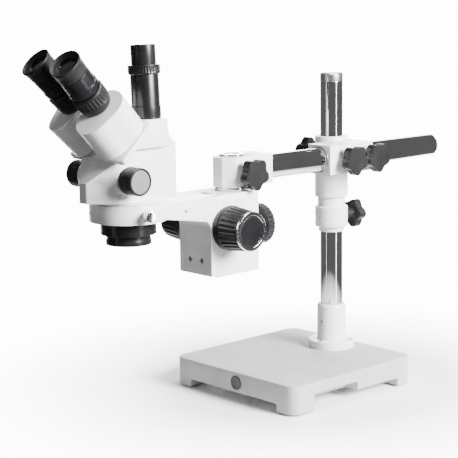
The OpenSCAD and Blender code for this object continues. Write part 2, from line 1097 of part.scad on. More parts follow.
module diopter_ring(side) {
  flutes = 28;
  place() color(black)
    eyepiece_axis(side)
      translate([0, 0, housing_end + 9 + gap])
        difference() {
          rotate_extrude()
            polygon([[eyetube_r + fit, 0], [19.6, 0], [20.3, 1], [20.3, 15], [18.8, 17],
                     [eyetube_r + fit, 17]]);
          for (i = [0:flutes - 1])
            rotate([0, 0, 360 * (i + 0.5) / flutes])
              translate([20.9, 0, 2])
                cylinder(h = 12, r = 1.1, $fn = 16);
        }
}

module diopter_ring_right() diopter_ring(1);
module diopter_ring_left() diopter_ring(-1);

module eyepiece(side) {
  place() color(black)
    eyepiece_axis(side)
      translate([0, 0, housing_end]) {
        rotate_extrude()
          polygon([[12.5, 10], [eyepiece_r, 10], [eyepiece_r, 32], [16.4, 32], [16.4, 29.2], [18.9, 29.2],
                   [19.4, 30], [19.4, 36], [18.5, 37], [18.2, 54.5], [15.5, 54.5],
                   [15.5, 67], [12.5, 67]]);
        translate([0, 0, 64])
          lens(12.5, 3, 1.2);
        translate([0, 0, 14])
          lens(12.5, 2, 0.8);
      }
}

module eyepiece_right() eyepiece(1);
module eyepiece_left() eyepiece(-1);

module eyecup(side) {
  place() color(black)
    eyepiece_axis(side)
      translate([0, 0, housing_end])
        rotate_extrude()
          polygon([[15.5, 54.5], [18.3, 54.5], [18.6, 64], [eyecup_r, 70.5],
                   [eyecup_r, eyecup_lip], [19, 73], [16.8, 69.5], [12.6, 68.4],
                   [12.6, 67], [15.5, 67]]);
}

module eyecup_right() eyecup(1);
module eyecup_left() eyecup(-1);

// ---------------------------------------------------------------- photo port

module at_port() {
  at_head()
    translate([port_x, port_y, cover_top])
      rotate([0, port_lean, 0])
        children();
}

module port_base() {
  place() color(black)
    at_port()
      rotate_extrude()
        polygon([[13.6, 0.9], [17.7, 0.9], [17.7, 14], [17.1, 15], [17.1, 51.6], [13.6, 51.6]]);
  place() color(black)
    at_head()
      translate([port_x, port_y, cover_top])
        tube(17.2, 13, 1);
}

module port_focus_ring() {
  flutes = 36;
  place() color(black)
    at_port()
      difference() {
        translate([0, 0, 51.6 + gap])
          tube(19.3, 13.6, 11);
        for (i = [0:flutes - 1])
          rotate([0, 0, 360 * i / flutes])
            translate([19.7, 0, 53])
              cylinder(h = 8, r = 0.7, $fn = 12);
      }
}

module port_tube() {
  place() color(black)
    at_port() {
      rotate_extrude()
        polygon([[10.5, 30], [13.5, 30], [13.5, 63.2], [port_tube_r, 63.2],
                 [port_tube_r, 85.8], [port_tube_r - 1, 86.8], [port_bore_r, 86.8],
                 [port_bore_r, 40], [10.5, 40]]);
      translate([0, 0, 34])
        lens(10.5, 3, 1.2);
    }
}

base_plate();
rubber_feet();
base_badge();
pillar_socket();
socket_screws();
pillar();
pillar_cap();
stop_collar();
collar_set_screw();
collar_knob();
cross_clamp();
arm_bush();
arm_knob_front();
arm_knob_rear();
pillar_knob();
boom_arm();
arm_plug();
end_clamp();
end_clamp_knob();
focus_post();
post_collars();
focus_block();
shaft_bushes();
post_knob();
focus_bracket();
slide_rack();
bracket_screws();
ring_thumbscrew();
focus_knobs();
focus_knob_rims();
focus_knob_caps();
pinion_shaft();
zoom_body();
head_cover();
head_screws();
objective_barrel();
objective_lenses();
zoom_guide_rods();
zoom_carrier();
zoom_lenses();
zoom_shaft();
zoom_knobs();
zoom_knob_caps();
prism_housing_right();
prism_housing_left();
prism_right();
prism_left();
eyetube_right();
eyetube_left();
diopter_ring_right();
diopter_ring_left();
eyepiece_right();
eyepiece_left();
eyecup_right();
eyecup_left();
port_base();
port_focus_ring();
port_tube();
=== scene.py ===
import json
import math

import bmesh
import bpy
from mathutils import Matrix, Vector


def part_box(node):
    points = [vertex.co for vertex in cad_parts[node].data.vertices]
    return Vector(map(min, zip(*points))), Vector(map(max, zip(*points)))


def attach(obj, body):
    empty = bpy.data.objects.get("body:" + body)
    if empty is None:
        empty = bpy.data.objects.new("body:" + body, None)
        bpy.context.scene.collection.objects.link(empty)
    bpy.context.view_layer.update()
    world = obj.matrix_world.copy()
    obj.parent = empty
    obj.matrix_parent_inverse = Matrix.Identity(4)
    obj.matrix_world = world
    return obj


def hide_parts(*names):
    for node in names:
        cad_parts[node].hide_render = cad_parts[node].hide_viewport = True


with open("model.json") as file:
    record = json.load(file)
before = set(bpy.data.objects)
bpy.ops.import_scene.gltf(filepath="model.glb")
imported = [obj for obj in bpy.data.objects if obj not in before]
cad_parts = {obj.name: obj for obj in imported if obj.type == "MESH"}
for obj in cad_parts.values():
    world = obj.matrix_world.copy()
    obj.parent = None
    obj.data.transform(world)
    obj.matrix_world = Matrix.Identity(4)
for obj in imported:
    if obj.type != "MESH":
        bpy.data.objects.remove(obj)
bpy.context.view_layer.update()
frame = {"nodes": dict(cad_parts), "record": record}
NODES = frame["nodes"]
JOINTS = {j["name"]: j for j in frame["record"]["behaviour"]["joints"]}
MM = 0.001

# main places in millimetres: x and y from the centre of the base, z from the bench
BASE_TOP = 41
PILLAR_Y = 78
ARM_X, ARM_Z = 42, 320
KNOB_Z = ARM_Z - 1
POST_Y = -153
SHAFT_Y, SHAFT_Z = -188, 255
CLAMP_FACE = ARM_X + 20.5
# height of the head clamp screws in the head frame, in metres
RING_SCREW_Z = 0.29


# ------------------------------------------------------------------ places
def middle(node):
    lo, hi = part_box(node)
    return (Vector(lo) + Vector(hi)) / 2


def joint_pos(name):
    return Vector(JOINTS[name]["pos_m"])


PILLAR = middle("pillar")
# the base centre is found from the pillar, because the frame has its own origin
SHIFT = PILLAR.y - PILLAR_Y * MM
BASE = Matrix.Translation((0, SHIFT, 0))
HEAD = joint_pos("head_rotation")
HEAD_FRAME = Matrix.Translation((HEAD.x, HEAD.y, 0))


def at(x, y, z):
    """A point given in millimetres from the centre of the base, as a matrix."""
    return Matrix.Translation((x * MM, y * MM + SHIFT, z * MM))


def turn(axis, degrees):
    return Matrix.Rotation(math.radians(degrees), 4, axis)


ALONG = {
    "+x": turn("Y", 90),
    "-x": turn("Y", -90),
    "+y": turn("X", -90),
    "-y": turn("X", 90),
}


# ------------------------------------------------------------------ camera
LENS_MM, SENSOR_MM = 115.08, 36
EYE = (1.39876, -1.42086, 0.57042)


def make_camera():
    """The camera at EYE, in metres from the base centre, looking along yaw, pitch and roll."""
    yaw, pitch, roll = math.radians(47.08), math.radians(9.93), math.radians(-0.70)
    back = Vector(
        (
            math.sin(yaw) * math.cos(pitch),
            -math.cos(yaw) * math.cos(pitch),
            math.sin(pitch),
        )
    )
    right = Vector((math.cos(yaw), math.sin(yaw), 0))
    up = back.cross(right)
    r = math.cos(roll) * right + math.sin(roll) * up
    u = -math.sin(roll) * right + math.cos(roll) * up
    data = bpy.data.cameras.new("camera")
    data.lens = LENS_MM
    data.sensor_width = SENSOR_MM
    data.clip_end = 20
    cam = bpy.data.objects.new("camera", data)
    cam.matrix_world = Matrix(
        (
            (r.x, u.x, back.x, EYE[0]),
            (r.y, u.y, back.y, EYE[1] + SHIFT),
            (r.z, u.z, back.z, EYE[2]),
            (0, 0, 0, 1),
        )
    )
    bpy.context.scene.collection.objects.link(cam)
    bpy.context.scene.camera = cam


make_camera()


# ------------------------------------------------------------------ materials
def new_material(name):
    m = bpy.data.materials.new(name)
    m.use_nodes = True
    nodes = m.node_tree.nodes
    nodes.clear()
    out = nodes.new("ShaderNodeOutputMaterial")
    bsdf = nodes.new("ShaderNodeBsdfPrincipled")
    m.node_tree.links.new(bsdf.outputs[0], out.inputs[0])
    return m, m.node_tree, bsdf


def noise(tree, scale, detail=4.0, stretch=(1, 1, 1), seed=0.0):
    coords = tree.nodes.new("ShaderNodeTexCoord")
    mapping = tree.nodes.new("ShaderNodeMapping")
    mapping.inputs["Scale"].default_value = stretch
    mapping.inputs["Location"].default_value = (seed, seed * 0.37, -seed)
    n = tree.nodes.new("ShaderNodeTexNoise")
    n.inputs["Scale"].default_value = scale
    n.inputs["Detail"].default_value = detail
    tree.links.new(coords.outputs["Object"], mapping.inputs["Vector"])
    tree.links.new(mapping.outputs[0], n.inputs["Vector"])
    return n


def ramp(tree, source, low, high, a, b):
    r = tree.nodes.new("ShaderNodeMapRange")
    r.inputs["From Min"].default_value = low
    r.inputs["From Max"].default_value = high
    r.inputs["To Min"].default_value = a
    r.inputs["To Max"].default_value = b
    tree.links.new(source, r.inputs["Value"])
    return r.outputs["Result"]


def tint(tree, source, a, b):
    mix = tree.nodes.new("ShaderNodeMix")
    mix.data_type = "RGBA"
    mix.inputs[6].default_value = (*a, 1)
    mix.inputs[7].default_value = (*b, 1)
    tree.links.new(source, mix.inputs[0])
    return mix.outputs[2]


def bump(tree, bsdf, source, strength, distance):
    b = tree.nodes.new("ShaderNodeBump")
    b.inputs["Strength"].default_value = strength
    b.inputs["Distance"].default_value = distance
    tree.links.new(source, b.inputs["Height"])
    tree.links.new(b.outputs[0], bsdf.inputs["Normal"])


def surface(
    name, dark, light, rough, grain, grain_depth,
    metallic=0.0, coat=0.0, stretch=(1, 1, 1), seed=0.0, specular=0.5,
):
    """A surface that varies in colour, roughness and relief: clouds for wear, fine grain."""
    m, tree, bsdf = new_material(name)
    clouds = noise(tree, 24, 6, (1, 1, 1), seed + 3.1)
    fine = noise(tree, grain, 3, stretch, seed)
    tree.links.new(
        tint(tree, ramp(tree, clouds.outputs["Fac"], 0.35, 0.65, 0, 1), dark, light),
        bsdf.inputs["Base Color"],
    )
    tree.links.new(
        ramp(tree, fine.outputs["Fac"], 0.3, 0.7, rough[0], rough[1]), bsdf.inputs["Roughness"]
    )
    bump(tree, bsdf, fine.outputs["Fac"], 0.35, grain_depth)
    bsdf.inputs["Metallic"].default_value = metallic
    bsdf.inputs["Specular IOR Level"].default_value = specular
    bsdf.inputs["Coat Weight"].default_value = coat
    bsdf.inputs["Coat Roughness"].default_value = 0.12
    return m


def glass_material():
    m, tree, bsdf = new_material("optical_glass")
    # base colour goes from near black face-on to purple at grazing angles: a painted coating sheen
    painted_sheen = tree.nodes.new("ShaderNodeLayerWeight")
    painted_sheen.inputs["Blend"].default_value = 0.35
    tree.links.new(
        tint(tree, painted_sheen.outputs["Facing"], (0.004, 0.006, 0.009), (0.03, 0.016, 0.045)),
        bsdf.inputs["Base Color"],
    )
    smudge = noise(tree, 60, 3)
    tree.links.new(
        ramp(tree, smudge.outputs["Fac"], 0.35, 0.7, 0.02, 0.07), bsdf.inputs["Roughness"]
    )
    bsdf.inputs["Coat Weight"].default_value = 1.0
    return m


M = {
    "white_paint": surface(
        "white_paint", (0.76, 0.765, 0.76), (0.82, 0.82, 0.81), (0.3, 0.42), 900, 0.00004,
        coat=0.25,
    ),
    "white_alloy": surface(
        "white_alloy", (0.76, 0.765, 0.765), (0.82, 0.82, 0.815), (0.32, 0.44), 1100, 0.00004,
        coat=0.25, seed=5,
    ),
    # the base is white like the stand; this much darker grey copy of the white paint is painted
    # shade
    "cast_base": surface(
        "cast_base", (0.33, 0.335, 0.34), (0.38, 0.385, 0.39), (0.5, 0.65), 620, 0.00005, seed=9,
        specular=0.12,
    ),
    "black_plastic": surface(
        "black_plastic", (0.006, 0.006, 0.0065), (0.012, 0.012, 0.0125), (0.32, 0.46), 1500,
        0.000015, seed=2, specular=0.3,
    ),
    "gloss_black": surface(
        "gloss_black", (0.005, 0.005, 0.006), (0.01, 0.01, 0.011), (0.2, 0.3), 900, 0.0000015,
        seed=4, specular=0.35,
    ),
    "black_metal": surface(
        "black_metal", (0.005, 0.005, 0.0055), (0.011, 0.011, 0.012), (0.2, 0.32), 1300, 0.000002,
        stretch=(1, 1, 6), seed=6, specular=0.4,
    ),
    "black_rubber": surface(
        "black_rubber", (0.006, 0.006, 0.006), (0.012, 0.012, 0.012), (0.45, 0.62), 1700, 0.00002,
        seed=7, specular=0.25,
    ),
    "chrome": surface(
        "chrome", (0.66, 0.67, 0.69), (0.76, 0.77, 0.78), (0.045, 0.06), 500, 0.0000003,
        metallic=1.0, stretch=(6, 6, 0.4), seed=8,
    ),
    "steel": surface(
        "steel", (0.42, 0.43, 0.44), (0.56, 0.57, 0.58), (0.25, 0.42), 1200, 0.00002, metallic=1.0,
        stretch=(1, 1, 8), seed=1,
    ),
    "bronze": surface(
        "bronze", (0.5, 0.32, 0.13), (0.62, 0.42, 0.18), (0.28, 0.42), 1200, 0.00002, metallic=1.0,
        seed=3,
    ),
    "grey_face": surface(
        "grey_face", (0.13, 0.132, 0.135), (0.17, 0.172, 0.175), (0.4, 0.55), 1400, 0.00004,
        seed=11,
    ),
    "optical_glass": glass_material(),
}


# ------------------------------------------------------------------ mesh making
def link(name, bm, slot, smooth=38):
    me = bpy.data.meshes.new(name)
    bm.normal_update()
    bmesh.ops.recalc_face_normals(bm, faces=bm.faces)
    bm.to_mesh(me)
    bm.free()
    o = bpy.data.objects.new(name, me)
    bpy.context.scene.collection.objects.link(o)
    finish_mesh(o, slot, smooth)
    return o


def finish_mesh(o, slot, smooth=38):
    me = o.data
    me.materials.clear()
    me.materials.append(M[slot])
    for p in me.polygons:
        p.use_smooth = True
    me.set_sharp_from_angle(angle=math.radians(smooth))


def bake(o):
    """Applies the modifiers of o."""
    dg = bpy.context.evaluated_depsgraph_get()
    me = bpy.data.meshes.new_from_object(o.evaluated_get(dg))
    o.modifiers.clear()
    old = o.data
    o.data = me
    bpy.data.meshes.remove(old)


def rounded(points, radius, steps=4, closed=True, radii=None):
    """The outline with its corners rounded. radii gives some corners their own radius, by index."""
    out, n = [], len(points)
    for i, p in enumerate(points):
        p = Vector(p)
        if not closed and i in (0, n - 1):
            out.append(p)
            continue
        a, b = Vector(points[i - 1]), Vector(points[(i + 1) % n])
        u, v = a - p, b - p
        r = radius if radii is None else radii.get(i, radius)
        if r <= 0 or u.length < 1e-9 or v.length < 1e-9:
            out.append(p)
            continue
        angle = u.angle(v)
        if angle > math.radians(176):
            out.append(p)
            continue
        cut = min(r / math.tan(angle / 2), u.length * 0.46, v.length * 0.46)
        s, e = p + u.normalized() * cut, p + v.normalized() * cut
        for k in range(steps + 1):
            t = k / steps
            out.append(s * (1 - t) ** 2 + p * 2 * t * (1 - t) + e * t * t)
    return out


def lathe(name, profile, slot, m, segs=96, soft=0.4, closed=True, radii=None, wave=None, smooth=38):
    """profile is (radius, height) in millimetres, a loop unless it starts and ends on the axis.
    wave(angle, radius, height) gives the change in radius at a point, for ribs and flutes."""
    on_axis = not closed
    pts = rounded([Vector((r, z)) for r, z in profile], soft, 3, closed, radii)
    bm = bmesh.new()
    rings = []
    for p in pts:
        if p.x < 1e-6:
            rings.append([bm.verts.new(m @ Vector((0, 0, p.y * MM)))])
            continue
        ring = []
        for k in range(segs):
            a = 2 * math.pi * k / segs
            r = p.x + (wave(a, p.x, p.y) if wave else 0)
            ring.append(
                bm.verts.new(m @ Vector((r * math.cos(a) * MM, r * math.sin(a) * MM, p.y * MM)))
            )
        rings.append(ring)
    pairs = list(zip(rings, rings[1:])) + ([(rings[-1], rings[0])] if not on_axis else [])
    for a, b in pairs:
        for k in range(segs):
            j = (k + 1) % segs
            if len(a) == 1 and len(b) == 1:
                break
            if len(a) == 1:
                bm.faces.new((a[0], b[k], b[j]))
            elif len(b) == 1:
                bm.faces.new((a[k], b[0], a[j]))
            else:
                bm.faces.new((a[k], b[k], b[j], a[j]))
    return link(name, bm, slot, smooth)


def slab(name, outline, z0, z1, slot, m, edge=1.0, steps=3, smooth=38):
    """An outline in millimetres, extruded from z0 to z1 with rounded edges."""
    bm = bmesh.new()
    low = [bm.verts.new(Vector((x * MM, y * MM, z0 * MM))) for x, y in outline]
    high = [bm.verts.new(Vector((x * MM, y * MM, z1 * MM))) for x, y in outline]
    n = len(outline)
    bottom = bm.faces.new(low[::-1])
    top = bm.faces.new(high)
    for k in range(n):
        j = (k + 1) % n
        bm.faces.new((low[k], low[j], high[j], high[k]))
    if edge > 0:
        rim = [e for e in bm.edges if top in e.link_faces or bottom in e.link_faces]
        bmesh.ops.bevel(
            bm, geom=rim, offset=edge * MM, segments=steps, profile=0.5, affect="EDGES",
            clamp_overlap=True,
        )
    bmesh.ops.transform(bm, matrix=m, verts=bm.verts)
    return link(name, bm, slot, smooth)


def box_shape(name, lo, hi, slot="steel"):
    """A plain box between two corners in millimetres from the base centre."""
    (x0, y0, z0), (x1, y1, z1) = lo, hi
    return slab(name, [(x0, y0), (x1, y0), (x1, y1), (x0, y1)], z0, z1, slot, BASE, edge=0)


def rod_shape(name, m, r, z0, z1, segs=64):
    return lathe(name, [(0, z0), (r, z0), (r, z1), (0, z1)], "steel", m, segs, soft=0, closed=False)


def boolean(o, others, operation):
    for c in others:
        mod = o.modifiers.new("b", "BOOLEAN")
        mod.operation = operation
        mod.solver = "EXACT"
        mod.object = c
    bake(o)
    for c in others:
        me = c.data
        bpy.data.objects.remove(c)
        bpy.data.meshes.remove(me)


def soften(o, width, slot, limit=40, steps=3, smooth=42):
    """Rounds the sharp edges of o."""
    bm = bmesh.new()
    bm.from_mesh(o.data)
    bmesh.ops.remove_doubles(bm, verts=bm.verts, dist=0.00001)
    bmesh.ops.dissolve_limit(bm, angle_limit=math.radians(1), verts=bm.verts, edges=bm.edges)
    bm.to_mesh(o.data)
    bm.free()
    mod = o.modifiers.new("bevel", "BEVEL")
    mod.width = width * MM
    mod.segments = steps
    mod.limit_method = "ANGLE"
    mod.angle_limit = math.radians(limit)
    mod.use_clamp_overlap = True
    mod.miter_outer = "MITER_ARC"
    bake(o)
    finish_mesh(o, slot, smooth)


def join(name, objects):
    """Several meshes as one piece; they keep their own materials."""
    bm = bmesh.new()
    slots, out = [], bpy.data.meshes.new(name)
    for o in objects:
        index = {}
        for i, mat in enumerate(o.data.materials):
            if mat not in slots:
                slots.append(mat)
            index[i] = slots.index(mat)
        before = len(bm.faces)
        bm.from_mesh(o.data)
        bm.faces.ensure_lookup_table()
        for f in bm.faces[before:]:
            f.material_index = index[f.material_index]
    bm.to_mesh(out)
    bm.free()
    for mat in slots:
        out.materials.append(mat)
    for o in objects:
        me = o.data
        bpy.data.objects.remove(o)
        bpy.data.meshes.remove(me)
    o = bpy.data.objects.new(name, out)
    bpy.context.scene.collection.objects.link(o)
    return o


def piece(o, body, slot, *nodes):
    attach(o, body)
    if nodes:
        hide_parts(*nodes)


def ribs(count, depth, z0, z1, power=3, outside=0):
    """Rounded ribs with narrow grooves between them, fading out at both ends.
    Points within the radius outside are left alone."""

    def wave(a, r, z):
        if r <= outside or not z0 <= z <= z1:
            return 0
        fade = min(1, (z - z0) / 1.2, (z1 - z) / 1.2)
        return -depth * fade * abs(math.cos(count * a / 2)) ** power

    return wave


def spread(profile, z0, z1, count):
    """Adds points to a profile's straight side between z0 and z1, for ribs to start and end at."""
    out = []
    for a, b in zip(profile, profile[1:] + profile[:1]):
        out.append(a)
        lo, hi = sorted((a[1], b[1]))
        if hi - lo > 3 and lo <= z0 + 0.01 and hi >= z1 - 0.01 and a[0] > 0 and b[0] > 0:
            steps = [z0 + (z1 - z0) * k / count for k in range(count + 1)]
            steps = [z for z in steps if lo + 0.05 < z < hi - 0.05]
            if a[1] > b[1]:
                steps.reverse()
            for z in steps:
                t = (z - a[1]) / (b[1] - a[1])
                out.append((a[0] + (b[0] - a[0]) * t, z))
    return out


def hex_recess(name, m, r, depth, top):
    angles = [math.radians(60 * k) for k in range(6)]
    pts = [(r * math.cos(a), r * math.sin(a)) for a in angles]
    return slab(name, pts, top - depth, top + 1, "steel", m, edge=0)


def cap_screw(name, m, head_r, head_h, recess):
    """Socket head screw; its head stands on z = 0."""
    o = lathe(
        name, [(0, -1), (head_r, -1), (head_r, head_h), (0, head_h)], "steel", m, 48, soft=0.5,
        closed=False,
    )
    boolean(o, [hex_recess(name + "_hex", m, recess, head_h * 0.6, head_h)], "DIFFERENCE")
    finish_mesh(o, "steel", 35)
    return o


# ------------------------------------------------------------------ base and pillar
def make_base():
    w, d, r = 117, 118, 15
    outline = []
    for cx, cy, start in (
        (w - r, d - r, 0), (-w + r, d - r, 90), (-w + r, -d + r, 180), (w - r, -d + r, 270),
    ):
        for k in range(13):
            a = math.radians(start + 90 * k / 12)
            outline.append((cx + r * math.cos(a), cy + r * math.sin(a)))
    o = slab("base_casting", outline, 2, BASE_TOP, "cast_base", BASE, edge=0)
    cuts = [
        box_shape("c1", (-84, -130, -5), (84, 130, 13)),
        box_shape("c2", (-130, -79, -5), (130, 88, 13)),
        box_shape("c3", (-130, -79, 5), (-95, 5, 25)),
        box_shape("c4", (95, -79, 5), (130, 5, 25)),
        box_shape("c5", (-51, -68.5, 5), (51, 68.5, 17)),
    ]
    boolean(o, cuts, "DIFFERENCE")
    soften(o, 2.6, "cast_base", limit=50, steps=4)
    piece(o, "stand", "cast_base", "base_plate")
    feet = []
    for sx in (-1, 1):
        for sy in (-1, 1):
            feet.append(
                lathe(
                    "foot", [(0, 0), (10.4, 0), (11, 0.8), (11, 2), (0, 2)], "black_rubber",
                    at(sx * 100, sy * 101, 0), 48, closed=False,
                )
            )
    piece(join("rubber_feet_soft", feet), "stand", "black_rubber", "rubber_feet")
    badge = lathe(
        "badge", [(0, 0), (9.9, 0), (9.9, 0.9), (8.8, 1.0), (8.6, 0.6), (0, 0.6)], "gloss_black",
        at(8, -118, 26.5) @ ALONG["-y"], 64, soft=0.2, closed=False,
    )
    piece(join("blank_badge", [badge]), "stand", "gloss_black", "base_badge")


def make_socket():
    m = at(0, PILLAR_Y, BASE_TOP)
    o = lathe(
        "socket_turning",
        [(16.05, 0), (32.4, 0), (32.4, 11), (20.4, 11), (20.4, 60), (18.9, 63), (16.05, 63)],
        "white_paint",
        m,
        96,
        soft=1.0,
        radii={0: 0, 1: 0.2, 3: 2.0, 5: 2.0},
    )
    cuts, screws = [], []
    for a in (-90, 30, 150):
        mm = m @ turn("Z", a) @ Matrix.Translation((0.026, 0, 0))
        cuts.append(rod_shape("cut", mm, 5.0, 5, 20, 40))
        screws.append(cap_screw("s", mm @ Matrix.Translation((0, 0, 0.005)), 4.9, 5, 2.7))
    side = at(0, PILLAR_Y, 79) @ ALONG["-y"]
    cuts.append(rod_shape("cut", side, 2.5, 10, 30, 32))
    boolean(o, cuts, "DIFFERENCE")
    finish_mesh(o, "white_paint", 35)
    piece(o, "stand", "white_paint", "pillar_socket")
    grub = lathe(
        "g", [(0, 16.05), (2.45, 16.05), (2.45, 20), (0, 20)], "steel", side, 32, closed=False,
    )
    boolean(grub, [hex_recess("h", side, 1.4, 2, 20)], "DIFFERENCE")
    finish_mesh(grub, "steel", 35)
    piece(join("socket_cap_screws", screws + [grub]), "stand", "steel", "socket_screws")


def make_pillar():
    m = at(0, PILLAR_Y, 0)
    o = lathe(
        "pillar_tube", [(13.5, BASE_TOP), (16, BASE_TOP), (16, 420), (13.5, 420)], "chrome", m, 128,
        soft=0.3,
    )
    piece(o, "stand", "chrome", "pillar")
    o = lathe(
        "pillar_top_cap",
        [(0, 406), (13.4, 406), (13.4, 420.1), (16, 420.1), (16, 430.2), (14.2, 432), (0, 432)],
        "steel",
        m,
        96,
        soft=0.3,
        closed=False,
    )
    piece(o, "stand", "steel", "pillar_cap")


# ------------------------------------------------------------------ star knobs
def star(name, m, stand_off, stud_in, body, node):
    """A five-lobed knob with a hub and stud. z = 0 is the face it screws into."""
    top = stand_off + 12.0
    outline = []
    count = 150
    for k in range(count):
        a = 2 * math.pi * k / count
        lobe = 0.5 + 0.5 * math.cos(5 * a)
        r = 15.4 + 5.1 * lobe**0.8
        outline.append((r * math.cos(a), r * math.sin(a)))
    head = slab(
        name + "_head", outline, stand_off, top, "black_plastic", m, edge=2.2, steps=5, smooth=60,
    )
    dish = lathe(
        name + "_dish",
        [
            (0, top - 0.7), (9.5, top - 0.7), (10.5, top + 0.01), (9.6, top + 0.05),
            (8.6, top - 0.3), (0, top - 0.2),
        ],
        "black_plastic", m, 64, soft=0.2, closed=False,
    )
    hub = lathe(
        name + "_hub",
        [
            (0, 0.3), (7.4, 0.3), (7.8, 1.2), (8, stand_off - 1), (9.5, stand_off + 1),
            (0, stand_off + 1),
        ],
        "black_plastic",
        m,
        64,
        closed=False,
    )
    stud = lathe(
        name + "_stud", [(0, -stud_in), (3.9, -stud_in), (3.9, 1), (0, 1)], "steel", m, 32,
        closed=False,
    )
    o = join(name + "_moulded", [head, dish, hub, stud])
    piece(o, body, "black_plastic", node)


# ------------------------------------------------------------------ collar and cross clamp
def make_collar():
    m = at(0, PILLAR_Y, 0)
    o = lathe(
        "collar_turning",
        [
            (16.05, 209), (18.2, 209), (18.2, 216), (22.6, 216), (23.2, 216.8), (23.2, 243.8),
            (22.4, 244.6), (19.3, 244.6), (19.3, 258.7), (16.05, 258.7),
        ],
        "white_paint",
        m,
        96,
        soft=0.7,
    )
    side = at(0, PILLAR_Y, 232) @ ALONG["-y"]
    boolean(o, [rod_shape("c", side, 2.6, 21.4, 30, 32)], "DIFFERENCE")
    finish_mesh(o, "white_paint", 35)
    piece(o, "collar", "white_paint", "stop_collar")
    grub = lathe(
        "collar_grub", [(0, 16.3), (2.45, 16.3), (2.45, 21.2), (0, 21.2)], "steel", side, 32,
        closed=False,
    )
    boolean(grub, [hex_recess("h", side, 1.4, 2, 21.2)], "DIFFERENCE")
    finish_mesh(grub, "steel", 35)
    piece(grub, "collar", "steel", "collar_set_screw")
    star("collar_star", at(0, 101.2, 229) @ ALONG["+y"], 16, 6.9, "collar_knob_body", "collar_knob")


def make_cross_clamp():
    m = at(0, PILLAR_Y, 0)
    sleeve = lathe(
        "clamp_casting", [(0, 259), (23.4, 259), (23.4, 344), (0, 344)], "white_alloy", m, 96,
        soft=0, closed=False,
    )
    block = box_shape("block", (21.5, 9, 300), (62.5, 94, 339.5))
    web = box_shape("web", (0, 60, 300), (30, 93.5, 339.5))
    boolean(sleeve, [block, web], "UNION")
    cuts = [rod_shape("c", m, 16.05, 250, 350, 96)]
    cuts.append(rod_shape("c", at(ARM_X, 0, ARM_Z) @ ALONG["+y"], 16.05, 0, 100, 96))
    cuts.append(rod_shape("c", at(ARM_X, 0, ARM_Z) @ ALONG["+y"], 17.75, 0, 24, 96))
    for y in (41, 86):
        cuts.append(rod_shape("c", at(ARM_X, y, KNOB_Z) @ ALONG["+x"], 4.1, 12, 30, 32))
    boolean(sleeve, cuts, "DIFFERENCE")
    soften(sleeve, 0.8, "white_alloy", limit=35, steps=3)
    piece(sleeve, "clamp", "white_alloy", "cross_clamp")
    o = lathe(
        "arm_bush_turned", [(16.06, 0), (17.7, 0), (17.7, 16.2), (16.06, 16.2)], "steel",
        at(ARM_X, 7.8, ARM_Z) @ ALONG["+y"], 96, soft=0.3,
    )
    piece(o, "clamp", "steel", "arm_bush")
    star(
        "arm_star_front", at(CLAMP_FACE, 41, KNOB_Z) @ ALONG["+x"], 9.5, 4, "arm_knob_front_body",
        "arm_knob_front",
    )
    star(
        "arm_star_rear", at(CLAMP_FACE, 86, KNOB_Z) @ ALONG["+x"], 9.5, 4, "arm_knob_rear_body",
        "arm_knob_rear",
    )
    star(
        "pillar_star", at(-23.4, PILLAR_Y, 318) @ ALONG["-x"], 16, 7, "pillar_knob_body",
        "pillar_knob",
    )


# ------------------------------------------------------------------ boom arm and end clamp
def make_boom():
    m = at(ARM_X, 0, ARM_Z) @ ALONG["+y"]
    o = lathe(
        "boom_tube", [(13.5, -135), (16, -135), (16, 240), (13.5, 240)], "chrome", m, 128, soft=0.3,
    )
    piece(o, "boom", "chrome", "boom_arm")
    o = lathe(
        "boom_plug",
        [
            (0, 228), (13.4, 228), (13.4, 240.1), (16, 240.1), (15.7, 241.6), (14.4, 243.2),
            (12, 244), (0, 244),
        ],
        "black_plastic", m, 96, soft=0.4, closed=False,
    )
    piece(o, "boom", "black_plastic", "arm_plug")


def make_end_clamp():
    half, c = 20.5, 12
    pts = [
        (half, -100), (half, -178 + c), (half - c, -178), (c - half, -178), (-half, -178 + c),
        (-half, -100),
    ]
    o = slab("end_casting", [(x + ARM_X, y) for x, y in pts], 302, 340, "white_alloy", BASE, edge=0)
    boss = rod_shape("boss", at(ARM_X, -120, 0), 15, 330, 341.6, 64)
    boolean(o, [boss], "UNION")
    cuts = [
        rod_shape("c", at(ARM_X, POST_Y, 0), 12.55, 290, 350, 80),
        rod_shape("c", at(ARM_X, 0, ARM_Z) @ ALONG["+y"], 16.05, -135.2, -90, 96),
        rod_shape("c", at(ARM_X, -147, KNOB_Z) @ ALONG["+x"], 4.1, 8, 30, 32),
    ]
    boolean(o, cuts, "DIFFERENCE")
    soften(o, 0.8, "white_alloy", limit=30, steps=3)
    piece(o, "boom_end", "white_alloy", "end_clamp")
    star(
        "end_star", at(CLAMP_FACE, -147, KNOB_Z) @ ALONG["+x"], 9.5, 7.7, "end_knob_body",
        "end_clamp_knob",
    )


